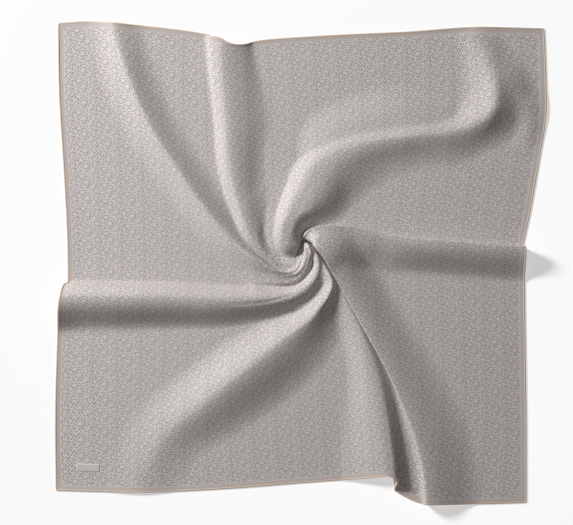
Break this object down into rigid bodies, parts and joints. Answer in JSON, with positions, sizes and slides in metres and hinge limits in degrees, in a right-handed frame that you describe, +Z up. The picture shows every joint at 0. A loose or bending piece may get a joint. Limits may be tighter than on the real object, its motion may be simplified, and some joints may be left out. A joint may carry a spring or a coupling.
{
  "type": "silk square scarf",
  "caption": "Light silk square laid flat, its middle twisted into a swirl of soft folds that run out to a rolled hem",
  "frame": {"origin": "middle of the scarf's bounding box on the surface that it lies on", "axes": "+Z up off the surface, +Y toward the edge opposite the label, +X to the right with the label at the lower left"},
  "size_m": [0.8595, 0.8453, 0.0368],
  "materials": {
    "silk": "soft sheen, small all-over print",
    "hem": "rolled and hand stitched",
    "label": "woven tape, bare"
  },
  "bodies": {
    "root": {"cloth": "silk", "hem_top": "hem", "hem_left": "hem", "hem_bottom": "hem", "hem_right": "hem", "label": "label"}
  },
  "joints": []
}
